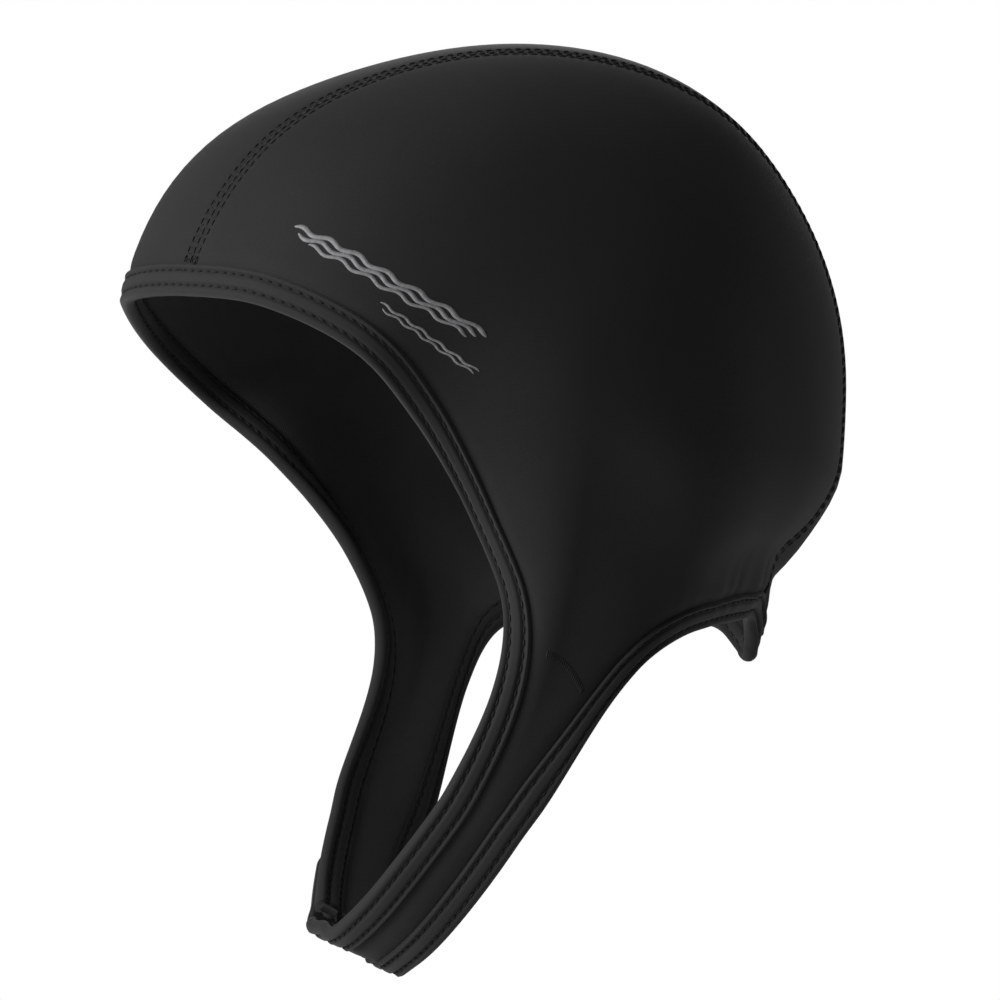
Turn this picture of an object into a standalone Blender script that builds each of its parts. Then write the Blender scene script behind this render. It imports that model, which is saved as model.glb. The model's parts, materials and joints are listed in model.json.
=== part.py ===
"""Neoprene water-sports cap with a chin strap, built as separate sewn pieces.

Metres, +Z up. The wearer faces -Y and the wearer's left is +X. The origin is the middle of the head, at
its widest level. The cap's outer skin is a head form, cut by a face edge and a neck edge. Ribs run over
it from the face edge to the neck edge: rib 0 goes over the crown, and ribs -1 and 1 go round the two strap
roots. A place on the skin is (rib, along), along being 0 at the face edge and 1 at the neck edge.
"""
import math

import bpy
import numpy as np
from mathutils import Matrix, Vector

MM = 0.001

# Head form: an egg above the widest level, and an upright oval tube that narrows to the neck below it.
HALF_WIDTH = 77 * MM
HALF_LENGTH = 96.2 * MM
CROWN_RISE = 91.2 * MM
CROWN_POWER = 2.45
CROWN_SETBACK = 12 * MM
SETBACK_POWER = 7
RISE_LIMIT = 1.1
FORM_OFFSET = -1.5 * MM
NECK_HALF_WIDTH = 54 * MM
NECK_HALF_LENGTH = 73.8 * MM
SIDE_TAPER = (-84 * MM, -15 * MM)
NAPE_TAPER = (-64 * MM, -16 * MM)

# Cloth
SKIN = 3 * MM
GAP = 0.3 * MM
HEM_WIDTH = 7.5 * MM
HEM_LIFT = 0.3 * MM
NECK_HEM_WIDTH = 9 * MM

# Strap: a U of flat webbing that leans forward as it goes down, swinging on round roots by the ears.
PIVOT_Y = -9 * MM
PIVOT_Z = -98 * MM
ROOT_RADIUS = 14 * MM
ROOT_X = 55.5 * MM
ROOT_TOE_IN = 0.2
STRAP_DROP = 52.5 * MM
STRAP_WIDTH = 26 * MM
STRAP_LEAN = math.radians(25)
STRAP_CURL = 1.54
STRAP_TUCK = 1.2
ROOT_TAPER = 20 * MM
FRONT_TIP = math.radians(30)
BACK_TIP = math.radians(25)
FIRST_ROW = 10 * MM

# Closure on the wearer's right: a short strap under a hook tab that ends the long strap.
SHORT_STRAP_LENGTH = 57 * MM
STEP_TOP = 58 * MM
STEP_BOTTOM = 72 * MM
PAD_THICKNESS = 0.7 * MM
TAB_THICKNESS = 2 * MM
TAB_TOP = 25 * MM
TAB_WIDTH = 24 * MM
TAB_ROUNDING = 7 * MM
TAB_END_NARROWING = 0.8
PAD_WIDTH = 20 * MM
LOOP_PAD_REACH = (18 * MM, 55 * MM)
HOOK_PAD_REACH = (27 * MM, 55 * MM)

# Small trim
SEAM_RIB = 1 / 7
SEAM_MARGIN = 1.5 * MM
TAPE_WIDTH = 10 * MM
TAPE_THICKNESS = 0.6 * MM
COVER_WIDTH = 3 * MM
COVER_THICKNESS = 0.6 * MM
BAR_TACK = (14 * MM, 2.4 * MM, 0.8 * MM)
TACK_RIB = 0.94
TACK_LIFT = 0.5 * MM
LABEL = (14 * MM, 12 * MM, 0.6 * MM)
LABEL_PLACE = 0.9

# Where chosen ribs start, pass the middle and end: (x, y, z) in millimetres, for rib 0 to rib 1 in sevenths.
# The wearer's right neck edge hangs a little further forward than the left one.
FACE_EDGE = (
    (0, -96, 22.4), (25.5, -89.8, 21), (51.5, -76, 16), (65.5, -55.5, 3.5),
    (60, -38, -13), (52, -20.5, -37), (52.5, -12.8, -62), (53.1, -17.2, -86.3),
)
MIDDLE = (
    (0, 12, 90.8), (33, 10, 85.5), (60, 8, 62), (74, 6, 30),
    (77, 4, -2), (68.5, 4, -35), (60, 1.5, -63), (55.5, -3, -85),
)
LEFT_NECK_EDGE = (
    (0, 73.5, -65.5), (14, 70, -58), (30, 60, -59), (43, 47, -61.5),
    (53, 35, -66), (58.5, 24, -74), (59.5, 14.4, -85.5), (58.1, 5.3, -98),
)
RIGHT_NECK_EDGE = (
    (0, 73.5, -65.5), (14, 70, -58), (30, 60, -57.5), (43, 46, -55),
    (54, 33, -54), (60, 22, -60), (60.5, 12, -79.5), (58.1, 5.3, -98),
)

# Fineness of the surfaces
RIBS_PER_STATION = 4
RIB_STEPS = RIBS_PER_STATION * (len(MIDDLE) - 1)
ALONG_STEPS = 26
LONG_STRAP_STEPS = 34
SHORT_STRAP_STEPS = 6
STRAP_COLUMNS = 9
ROOT_BLENDS = (0, 0.34, 0.67)
FLAT_STEPS = 8
FLAT_COLUMNS = 5
TACK_GRID = (3, 9)
LABEL_GRID = (9, 5)
FORM_SEARCH = (20 * MM, 200 * MM)
HALVINGS = 40
U_STEPS = 720
SLOPE_STEP = 1e-3
SHARP_EDGE = math.radians(40)

CLOTH = (0.022, 0.022, 0.024, 1)
HEM_CLOTH = (0.03, 0.03, 0.032, 1)
THREAD = (0.06, 0.06, 0.065, 1)
LABEL_CLOTH = (0.5, 0.5, 0.5, 1)


def clear_scene():
    for obj in list(bpy.data.objects):
        bpy.data.objects.remove(obj)


def material(name, colour, roughness):
    made = bpy.data.materials.new(name)
    made.use_nodes = True
    shader = made.node_tree.nodes["Principled BSDF"]
    shader.inputs["Base Color"].default_value = colour
    shader.inputs["Roughness"].default_value = roughness
    shader.inputs["Metallic"].default_value = 0
    return made


def ease(value):
    """0 up to 0, 1 from 1, with a smooth rise between."""
    clipped = np.clip(value, 0, 1)
    return clipped * clipped * (3 - 2 * clipped)


def unit(vectors):
    return vectors / np.linalg.norm(vectors, axis=-1, keepdims=True)


# The head form and the cap's skin

def outside(points):
    """Above 1 outside the head form, below 1 inside it."""
    x, y, z = np.moveaxis(points, -1, 0)
    rise = np.clip(z / CROWN_RISE, 0, None)
    side = ease((z - SIDE_TAPER[0]) / (SIDE_TAPER[1] - SIDE_TAPER[0]))
    nape = ease((z - NAPE_TAPER[0]) / (NAPE_TAPER[1] - NAPE_TAPER[0]))
    half_width = NECK_HALF_WIDTH + (HALF_WIDTH - NECK_HALF_WIDTH) * side
    half_length = NECK_HALF_LENGTH + (HALF_LENGTH - NECK_HALF_LENGTH) * nape
    middle = FORM_OFFSET + CROWN_SETBACK * np.clip(rise, 0, RISE_LIMIT) ** SETBACK_POWER
    return (x / half_width) ** 2 + ((y - middle) / half_length) ** 2 + rise ** CROWN_POWER


def form_radius(directions):
    """Distance from the form's centre to its surface, by halving."""
    near = np.full(directions.shape[:-1], FORM_SEARCH[0])
    far = np.full(directions.shape[:-1], FORM_SEARCH[1])
    for _ in range(HALVINGS):
        middle = (near + far) / 2
        inside = outside(directions * middle[..., None]) < 1
        near = np.where(inside, middle, near)
        far = np.where(inside, far, middle)
    return (near + far) / 2


def station(points, rib):
    """A smooth curve through the listed points, at rib 0 to 1."""
    listed = np.array(points) * MM
    before = listed[1] * (-1, 1, 1)
    after = 2 * listed[-1] - listed[-2]
    listed = np.vstack([before, listed, after])
    place = rib * (len(points) - 1)
    first = np.clip(np.floor(place), 0, len(points) - 2).astype(int)
    step = (place - first)[..., None]
    a, b, c, d = (listed[first + k] for k in range(4))
    return (2 * b + (c - a) * step + (2 * a - 5 * b + 4 * c - d) * step ** 2
            + (3 * b - a - 3 * c + d) * step ** 3) / 2


def sweep(start, middle, finish, along):
    """Directions on the circle through three directions, and how far along it the middle one is."""
    axis = unit(np.cross(middle - start, finish - middle))
    centre = axis * (start * axis).sum(-1, keepdims=True)
    radius = np.linalg.norm(start - centre, axis=-1, keepdims=True)
    across = unit(start - centre)
    onward = np.cross(axis, across)
    turns = [np.arctan2((point * onward).sum(-1), (point * across).sum(-1)) % (2 * math.pi)
             for point in (middle, finish)]
    angle = (turns[1] * along)[..., None]
    direction = centre + radius * (np.cos(angle) * across + np.sin(angle) * onward)
    return direction, turns[0] / turns[1]


def half_skin(rib, along, right):
    """Points of the outer skin for ribs of 0 and more, with the left or the right neck edge, drawn on +X."""
    neck = np.where(right[..., None], station(RIGHT_NECK_EDGE, rib), station(LEFT_NECK_EDGE, rib))
    ends = (station(FACE_EDGE, rib), station(MIDDLE, rib), neck)
    direction, share = sweep(*(unit(end) for end in ends), along)
    scale = [np.linalg.norm(end, axis=-1) / form_radius(unit(end)) for end in ends]
    to_face = drawn_in(along / share)
    to_neck = drawn_in((1 - along) / (1 - share))
    stretch = scale[1] + (scale[0] - scale[1]) * to_face + (scale[2] - scale[1]) * to_neck
    free = direction * (form_radius(direction) * stretch)[..., None]
    return free + (root_arc(along) - free) * near_root(rib)[..., None]


def near_root(rib):
    """1 on the last rib, whose wall is round about the strap's pivot, and 0 from one station before it."""
    stations = len(MIDDLE) - 1
    return np.clip((rib - 1) * stations + 1, 0, None) ** 2


def drawn_in(share):
    """1 at an edge, falling smoothly to 0 at the rib's middle."""
    rest = np.clip(1 - share, 0, None)
    return rest ** 2 * (2 - rest)


def strap_pivot():
    return np.array((0, PIVOT_Y, PIVOT_Z))


def strap_frame():
    """Unit vectors across the strap, front to back, and down along it."""
    across = np.array((0, math.cos(STRAP_LEAN), -math.sin(STRAP_LEAN)))
    down = np.array((0, -math.sin(STRAP_LEAN), -math.cos(STRAP_LEAN)))
    return across, down


def root_arc(along):
    """The round edge of the side panel where it meets the left strap root."""
    across, down = strap_frame()
    angle = (math.pi - FRONT_TIP) + (BACK_TIP + FRONT_TIP - math.pi) * along
    radius = ROOT_RADIUS + GAP
    width = radius * np.cos(angle)
    x = ROOT_X + ROOT_TOE_IN * width
    rise = radius * np.sin(angle)
    level = strap_pivot() + x[..., None] * np.array((1, 0, 0)) + width[..., None] * across
    return level - rise[..., None] * down


def skin(rib, along, lift):
    """Points at that height outside the outer skin. Negative ribs are the wearer's right half."""
    rib, along, lift = np.broadcast_arrays(rib, along, lift)
    side = np.where(rib < 0, -1.0, 1.0)
    onward, across = slopes(rib, along)
    normal = unit(np.cross(across, onward))
    point = half_skin(np.abs(rib), along, rib < 0)
    rib = np.abs(rib)
    normal = unit(normal + (np.array((1, 0, 0)) - normal) * near_root(rib)[..., None])
    point = point + normal * lift[..., None]
    return point * np.stack([side, np.ones_like(side), np.ones_like(side)], -1)


def slopes(rib, along):
    """How the skin's point moves for one unit along a rib, and for one unit of rib, drawn on +X."""
    right = rib < 0
    rib = np.abs(rib)
    onward = half_skin(rib, along + SLOPE_STEP, right) - half_skin(rib, along - SLOPE_STEP, right)
    across = half_skin(rib + SLOPE_STEP, along, right) - half_skin(rib - SLOPE_STEP, along, right)
    return onward / (2 * SLOPE_STEP), across / (2 * SLOPE_STEP)


def rib_rate(rib, along):
    """Metres of skin for one unit of rib."""
    return np.linalg.norm(slopes(rib, along)[1], axis=-1)


def along_rate(rib, along):
    """Metres of skin for one unit along a rib."""
    return np.linalg.norm(slopes(rib, along)[0], axis=-1)


def face_line(rib, width, beyond=0):
    """Where a rib crosses the line at that width from the face edge, moved on by beyond, squarely to it."""
    line = width / along_rate(rib, np.zeros_like(rib))
    return line + beyond / square_rate(rib, line)


def neck_line(rib, width, beyond=0):
    """Where a rib crosses the line at that width from the neck edge, moved on by beyond, squarely to it."""
    line = 1 - width / along_rate(rib, np.ones_like(rib))
    return line - beyond / square_rate(rib, line)


def square_rate(rib, line):
    """Metres for one unit along a rib, measured squarely to a line that crosses the ribs."""
    if len(rib) == 1:
        return along_rate(rib, line)
    course = np.gradient(skin(rib, line, 0), axis=0)
    onward = (skin(rib, line + SLOPE_STEP, 0) - skin(rib, line - SLOPE_STEP, 0)) / (2 * SLOPE_STEP)
    return np.linalg.norm(np.cross(onward, unit(course)), axis=-1)


# Solids from grids of points

def solid(name, top, bottom, finish):
    """A closed body between two grids of points of the same shape."""
    rows, columns = top.shape[:2]
    count = rows * columns
    index = np.arange(count).reshape(rows, columns)
    faces = []
    for r in range(rows - 1):
        for c in range(columns - 1):
            quad = (index[r, c], index[r + 1, c], index[r + 1, c + 1], index[r, c + 1])
            faces.append(quad)
            faces.append(tuple(corner + count for corner in reversed(quad)))
    rim = list(index[0]) + list(index[1:, -1]) + list(index[-1, -2::-1]) + list(index[-2:0:-1, 0])
    for here, there in zip(rim, rim[1:] + rim[:1]):
        faces.extend(wall(here, there, count))
    points = np.vstack([top.reshape(-1, 3), bottom.reshape(-1, 3)])
    mesh = bpy.data.meshes.new(name)
    mesh.from_pydata([tuple(p) for p in points], [], [tuple(int(i) for i in face) for face in faces])
    mesh.validate()
    obj = bpy.data.objects.new(name, mesh)
    obj.data.materials.append(finish)
    bpy.context.scene.collection.objects.link(obj)
    face_outward(obj)
    mesh.shade_smooth()
    mesh.set_sharp_from_angle(angle=SHARP_EDGE)
    return obj


def wall(here, there, count):
    """Two triangles whose diagonal is the same whichever way the rim runs, so that facing walls match."""
    if here < there:
        return (here, there, there + count), (here, there + count, here + count)
    return (here, there, here + count), (there, there + count, here + count)


def face_outward(obj):
    """Turns the faces round if the body's signed volume is negative."""
    mesh = obj.data
    mesh.calc_loop_triangles()
    corners = np.array([[mesh.vertices[i].co[:] for i in t.vertices] for t in mesh.loop_triangles])
    volume = np.einsum("ij,ij->i", corners[:, 0], np.cross(corners[:, 1], corners[:, 2])).sum()
    if volume < 0:
        mesh.flip_normals()


def pivot(name, place, parent=None):
    """An empty on a joint's axis, for the pieces that turn on it."""
    made = bpy.data.objects.new(name, None)
    bpy.context.scene.collection.objects.link(made)
    made.parent = parent
    made.location = place if parent is None else np.array(place) - np.array(parent.location)
    return made


def turn_on(parent, place, pieces):
    """Hangs pieces on the empty at that place, with their points counted from it."""
    for piece in pieces:
        piece.data.transform(Matrix.Translation(-Vector(place)))
        piece.parent = parent


def skin_piece(name, rib, along, height, finish):
    """A piece of the cap between two heights over the skin."""
    return solid(name, skin(rib, along, height[1]), skin(rib, along, height[0]), finish)


def shared_ribs(first, last):
    """The ribs between two rib numbers at which every piece has its points."""
    return np.arange(first, last + 1) / RIB_STEPS


def between(rib, start, finish, steps):
    """A grid whose rows follow the ribs and whose columns go from start to finish."""
    share = np.linspace(0, 1, steps + 1)[None, :]
    along = start[:, None] + (finish - start)[:, None] * share
    return np.repeat(rib[:, None], steps + 1, axis=1), along


def panel(name, first, last, finish):
    """A main panel between two shared ribs, held back from its seams and hems by half a gap."""
    rib = shared_ribs(first, last)
    start = face_line(rib, HEM_WIDTH, GAP / 2)
    stop = neck_line(rib, NECK_HEM_WIDTH, GAP / 2)
    rib, along = between(rib, start, stop, ALONG_STEPS)
    for row, inward in ((0, 1), (-1, -1)):
        if abs(rib[row, 0]) < 1:
            rib[row] = rib[row] + inward * (GAP / 2) / rib_rate(rib[row], along[row])
    return skin_piece(name, rib, along, (-SKIN, 0), finish)


def build_shell(cloth, hem_cloth):
    seam = round(SEAM_RIB * RIB_STEPS)
    panel("crown_panel", -seam, seam, cloth)
    panel("left_side_panel", seam, RIB_STEPS, cloth)
    panel("right_side_panel", -RIB_STEPS, -seam, cloth)
    rib = shared_ribs(-RIB_STEPS, RIB_STEPS)
    height = (-SKIN - HEM_LIFT, HEM_LIFT)
    start = np.zeros_like(rib)
    grid = between(rib, start, face_line(rib, HEM_WIDTH, -GAP / 2), 2)
    skin_piece("face_hem", *grid, height, hem_cloth)
    stop = np.ones_like(rib)
    grid = between(rib, neck_line(rib, NECK_HEM_WIDTH, -GAP / 2), stop, 2)
    skin_piece("neck_hem", *grid, height, hem_cloth)


def seam_strip(name, side, width, height, finish):
    """A narrow strip that follows one crown seam from hem to hem."""
    seam = np.full(1, SEAM_RIB)
    start = face_line(seam, HEM_WIDTH + SEAM_MARGIN)[0]
    stop = neck_line(seam, NECK_HEM_WIDTH + SEAM_MARGIN)[0]
    along = np.linspace(start, stop, ALONG_STEPS + 1)
    centre = np.full_like(along, SEAM_RIB)
    reach = width / 2 / rib_rate(centre, along)
    rib = np.stack([centre - reach, centre, centre + reach]) * side
    return skin_piece(name, rib, np.repeat(along[None, :], 3, axis=0), height, finish)


def build_seams(tape, thread):
    inside = -SKIN - GAP
    for side, word in ((1, "left"), (-1, "right")):
        seam_strip(f"{word}_crown_seam_tape", side, TAPE_WIDTH, (inside - TAPE_THICKNESS, inside), tape)
        seam_strip(f"{word}_crown_seam_cover", side, COVER_WIDTH, (GAP, GAP + COVER_THICKNESS), thread)


# The strap

def strap_path():
    """The U of the strap's outer face: distance from the left pivot, x, drop and outward normal."""
    angle = np.linspace(0, math.pi, U_STEPS + 1)
    x = ROOT_X * np.sign(np.cos(angle)) * np.abs(np.cos(angle)) ** STRAP_TUCK
    drop = STRAP_DROP * np.sin(angle) ** STRAP_CURL
    step = np.hypot(np.diff(x), np.diff(drop))
    distance = np.concatenate([[0], np.cumsum(step)])
    slope_x = np.gradient(x, distance)
    slope_drop = np.gradient(drop, distance)
    return distance, x, drop, slope_drop, -slope_x


def strap_point(distance, width, lift):
    """A point of the strap. Distance is along the U from the left pivot, and width from front to back."""
    lengths, xs, drops, normal_x, normal_drop = strap_path()
    across, down = strap_frame()
    whole = lengths[-1]
    beyond = np.where(distance < 0, distance, np.where(distance > whole, whole - distance, 0))
    held = np.clip(distance, 0, whole)
    normal = unit(np.stack([np.interp(held, lengths, normal_x), np.interp(held, lengths, normal_drop)], -1))
    toe_in = 1 + ROOT_TOE_IN * width / ROOT_X
    x = np.interp(held, lengths, xs) * toe_in + normal[..., 0] * lift
    drop = np.interp(held, lengths, drops) + beyond + normal[..., 1] * lift
    level = strap_pivot() + x[..., None] * np.array((1, 0, 0)) + width[..., None] * across
    return level + drop[..., None] * down


def strap_length():
    return strap_path()[0][-1]


def half_width_at(from_root):
    """Half the strap's width at a distance below the pivot."""
    return STRAP_WIDTH / 2 + (ROOT_RADIUS - STRAP_WIDTH / 2) * (1 - ease(from_root / ROOT_TAPER))


def root_rows():
    """Rows of a strap root, from the rim of its disc, which turns in the panel's recess, to the first full row."""
    share = np.linspace(-1, 1, STRAP_COLUMNS)
    depth = ROOT_RADIUS * np.cos(share * math.pi / 2)
    rim = ROOT_RADIUS * np.sin(share * math.pi / 2)
    edge = share * half_width_at(FIRST_ROW)
    return [(-depth + (FIRST_ROW + depth) * blend, rim + (edge - rim) * blend) for blend in ROOT_BLENDS]


def strap_grid(reach, left_root, right_root, steps):
    """Distances and widths of a length of strap, with a round root at either end where asked for."""
    whole = strap_length()
    share = np.linspace(-1, 1, STRAP_COLUMNS)
    rows = [(np.full_like(share, distance), share * half_width_at(min(distance, whole - distance)))
            for distance in np.linspace(*reach, steps + 1)]
    if left_root:
        rows = root_rows() + rows
    if right_root:
        rows = rows + [(whole - distance, width) for distance, width in reversed(root_rows())]
    return np.array([row[0] for row in rows]), np.array([row[1] for row in rows])


def strap_piece(name, distance, width, height, finish):
    return solid(name, strap_point(distance, width, height[1] + 0 * width),
                 strap_point(distance, width, height[0] + 0 * width), finish)


def build_long_strap(cloth):
    """From the left root, under the chin, to the step on the right that carries the hook tab."""
    whole = strap_length()
    distance, width = strap_grid((FIRST_ROW, whole - STEP_TOP), True, False, LONG_STRAP_STEPS)
    step = ease((STEP_BOTTOM - (whole - distance)) / (STEP_BOTTOM - STEP_TOP))
    rise = step * tab_height()[1]
    return strap_piece("chin_strap", distance, width, (rise - SKIN, rise), cloth)


def build_short_strap(cloth):
    whole = strap_length()
    reach = (whole - SHORT_STRAP_LENGTH, whole - FIRST_ROW)
    distance, width = strap_grid(reach, False, True, SHORT_STRAP_STEPS)
    return strap_piece("short_strap", distance, width, (-SKIN, 0), cloth)


def tab_height():
    """Lower and upper face of the hook tab over the strap's outer face."""
    lower = 3 * GAP + 2 * PAD_THICKNESS
    return lower, lower + TAB_THICKNESS


def tab_hinge():
    """The middle of the line where the tab leaves the long strap's step, on the tab's outer face."""
    return strap_point(np.array(strap_length() - STEP_TOP + GAP / 2), np.array(0), np.array(tab_height()[1]))


def flat_grid(reach, width):
    """A straight-sided length of the strap's right leg, counted from the right root."""
    whole = strap_length()
    distance = np.linspace(whole - reach[1], whole - reach[0], FLAT_STEPS + 1)
    share = np.linspace(-0.5, 0.5, FLAT_COLUMNS)
    return np.meshgrid(distance, width * share, indexing="ij")


def build_patches(hook, loop):
    """Loop pile on the short strap, and hooks on the tab's inner face."""
    low = (GAP, GAP + PAD_THICKNESS)
    high = (low[1] + GAP, low[1] + GAP + PAD_THICKNESS)
    return (strap_piece("loop_patch", *flat_grid(LOOP_PAD_REACH, PAD_WIDTH), low, loop),
            strap_piece("hook_patch", *flat_grid(HOOK_PAD_REACH, PAD_WIDTH), high, hook))


def build_tab(cloth):
    """The hook tab, whose free end is rounded."""
    distance, width = flat_grid((TAB_TOP, STEP_TOP - GAP), TAB_WIDTH)
    into_end = np.clip(TAB_ROUNDING - (distance[-1, 0] - distance), 0, None)
    inset = TAB_ROUNDING - np.sqrt(TAB_ROUNDING ** 2 - into_end ** 2)
    width = width * (1 - TAB_END_NARROWING * inset / (TAB_WIDTH / 2))
    return strap_piece("hook_tab", distance, width, tab_height(), cloth)


def build_strap(cloth, hook, loop):
    """The strap and its closure, on empties at their joints."""
    loop_patch, hook_patch = build_patches(hook, loop)
    swing = pivot("chin_strap_pivot", strap_pivot())
    turn_on(swing, strap_pivot(), (build_long_strap(cloth), build_short_strap(cloth), loop_patch))
    peel = pivot("hook_tab_pivot", tab_hinge(), swing)
    turn_on(peel, tab_hinge(), (build_tab(cloth), hook_patch))


# Small trim

def trim_grid(rib, along, size, counts):
    """A small grid on the skin, centred at (rib, along), whose size is measured across and along the rib."""
    place = np.full(1, rib), np.full(1, along)
    reach = size[0] / 2 / rib_rate(*place)[0], size[1] / 2 / along_rate(*place)[0]
    ribs = rib + reach[0] * np.linspace(-1, 1, counts[0])
    alongs = along + reach[1] * np.linspace(-1, 1, counts[1])
    return np.meshgrid(ribs, alongs, indexing="ij")


def build_bar_tacks(thread):
    """A short dense row of stitches on each side panel, just over the strap root."""
    length, width, height = BAR_TACK
    for side, word in ((1, "left"), (-1, "right")):
        rib, along = trim_grid(TACK_RIB, 0.5, (width, length), TACK_GRID)
        skin_piece(f"{word}_bar_tack", rib * side, along, (TACK_LIFT, TACK_LIFT + height), thread)


def build_label(cloth):
    """A blank woven label inside the nape."""
    width, height, thickness = LABEL
    inside = -SKIN - 2 * GAP
    grid = trim_grid(0, LABEL_PLACE, (width, height), LABEL_GRID)
    skin_piece("care_label", *grid, (inside - thickness, inside), cloth)


def main():
    clear_scene()
    cloth = material("neoprene", CLOTH, 0.72)
    hem_cloth = material("hem_neoprene", HEM_CLOTH, 0.7)
    tape = material("seam_tape", HEM_CLOTH, 0.6)
    thread = material("thread", THREAD, 0.55)
    loop = material("loop_pile", HEM_CLOTH, 0.9)
    hook = material("hook_strip", CLOTH, 0.5)
    label = material("label", LABEL_CLOTH, 0.8)
    build_shell(cloth, hem_cloth)
    build_seams(tape, thread)
    build_strap(cloth, hook, loop)
    build_bar_tacks(thread)
    build_label(label)


main()
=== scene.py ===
"""Looks of the neoprene water-sports cap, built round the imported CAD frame.

One smooth chart covers all the cloth. Its rows run over the head from the right strap's end, up the right
leg, over the crown, down the left leg and under the chin. Its columns go from the face edge to the neck edge.
Every piece of cloth, binding, seam, stitch and print is laid out on that chart, so they follow each other.
"""
import json
import math
import random

import bpy
import numpy as np
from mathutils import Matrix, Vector


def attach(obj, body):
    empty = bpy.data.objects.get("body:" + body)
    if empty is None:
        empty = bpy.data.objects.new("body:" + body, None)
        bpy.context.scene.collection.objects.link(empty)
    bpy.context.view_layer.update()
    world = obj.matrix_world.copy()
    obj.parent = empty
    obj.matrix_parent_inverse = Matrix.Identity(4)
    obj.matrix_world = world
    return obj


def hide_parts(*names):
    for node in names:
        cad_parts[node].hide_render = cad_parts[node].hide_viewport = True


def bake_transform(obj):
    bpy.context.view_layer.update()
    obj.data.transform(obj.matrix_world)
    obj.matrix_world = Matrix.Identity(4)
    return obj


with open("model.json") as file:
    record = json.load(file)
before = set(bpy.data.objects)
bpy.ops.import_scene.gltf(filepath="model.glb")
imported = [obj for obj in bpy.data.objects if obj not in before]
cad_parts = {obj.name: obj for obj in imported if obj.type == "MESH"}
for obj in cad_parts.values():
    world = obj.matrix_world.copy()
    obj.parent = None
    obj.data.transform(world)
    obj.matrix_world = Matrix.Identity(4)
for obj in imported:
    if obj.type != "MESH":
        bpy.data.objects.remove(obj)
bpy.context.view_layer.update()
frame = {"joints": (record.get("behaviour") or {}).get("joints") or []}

MM = 0.001
TAU = 2 * math.pi

# The cap's form and edges, as the CAD source has them, apart from small fits of the outline
HALF_WIDTH, HALF_LENGTH, CROWN_RISE, CROWN_POWER = 77 * MM, 96.2 * MM, 91.2 * MM, 2.45
CROWN_SETBACK, FORM_OFFSET = 12 * MM, -1.5 * MM
NECK_HALF_WIDTH, NECK_HALF_LENGTH = 54 * MM, 73.8 * MM
SIDE_TAPER, NAPE_TAPER = (-84 * MM, -15 * MM), (-64 * MM, -16 * MM)
SKIN = 3 * MM
HEM = 7.6 * MM
ROOT_X, ROOT_TOE_IN, ROOT_RADIUS = 55.5 * MM, 0.2, 14 * MM
STRAP_DROP, STRAP_WIDTH, STRAP_LEAN = 52.5 * MM, 26 * MM, math.radians(25)
STRAP_CURL, STRAP_TUCK, ROOT_TAPER = 1.54, 1.2, 20 * MM
STEP_TOP, STEP_BOTTOM, SHORT_STRAP = 58 * MM, 72 * MM, 57 * MM
TAB_RISE, TAB_TOP, TAB_WIDTH = 4.3 * MM, 25 * MM, 24 * MM
PIVOT = np.array(next(j["pos_m"] for j in frame["joints"] if j["name"] == "chin_strap_swing"))
TAB_PIVOT = np.array(next(j["pos_m"] for j in frame["joints"] if j["name"] == "hook_tab_peel"))
SEAM_RIB = 1 / 7
FACE_EDGE = (
    (0, -96, 22.4), (25.5, -89.8, 21), (51.5, -76, 16), (65.5, -55.5, 3.5),
    (60, -38, -13), (52, -20.5, -37), (52.5, -11.8, -62), (53.1, -16.2, -86.3),
)
RIGHT_FACE_EDGE = (
    (0, -96, 22.4), (25.5, -89.8, 21), (51.5, -76.5, 15.2), (65.5, -56.4, 2.3),
    (60, -38.9, -14.2), (52, -21.3, -38), (52.5, -12.2, -62), (53.1, -16.6, -86.3),
)
MIDDLE = (
    (0, 12, 90.8), (33, 10, 85.5), (60, 8, 62), (74, 6, 30),
    (77, 4, -2), (68.5, 4, -35), (60, 1.5, -63), (55.5, -3, -85),
)
LEFT_NECK_EDGE = (
    (0, 75, -67.3), (14, 70, -58), (30, 60, -59), (43, 47, -61.5),
    (53, 34.6, -65.5), (58.5, 22.8, -72.8), (59.5, 12.6, -84.3), (58.1, 3.5, -97),
)
RIGHT_NECK_EDGE = (
    (0, 75, -67.3), (14, 70, -58), (30, 60, -57), (43, 46, -54),
    (54, 33.5, -53), (60, 22.5, -58.5), (60.5, 12.8, -78), (58.1, 7.3, -98),
)
LAST_RIB = 5.6 / 7
FIRST_STRAP = 12 * MM
# How much the strap's edges differ from its half width: the right leg's back, the left leg's back and front
RIGHT_BACK, LEFT_BACK, LEFT_FRONT = 2 * MM, -3 * MM, 1.1 * MM
BACK_FADE, SLIM_FADE, FRONT_FADE = 40 * MM, 30 * MM, 50 * MM

# Fineness of the chart
ROWS_PER_RIB, ROOT_ROWS, COLUMNS, ROW_STEP = 168, 36, 241, 1 * MM
EDGE_CROWDING = 1.35
DOWN = np.array((0, -math.sin(STRAP_LEAN), -math.cos(STRAP_LEAN)))
ACROSS = np.array((0, math.cos(STRAP_LEAN), -math.sin(STRAP_LEAN)))


def ease(value):
    held = np.clip(value, 0, 1)
    return held * held * (3 - 2 * held)


def bell(value, centre, width):
    return np.exp(-((value - centre) / width) ** 2)


def unit(v):
    return v / np.maximum(np.linalg.norm(v, axis=-1, keepdims=True), 1e-12)


# ---- The head form and the skin over it

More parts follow.
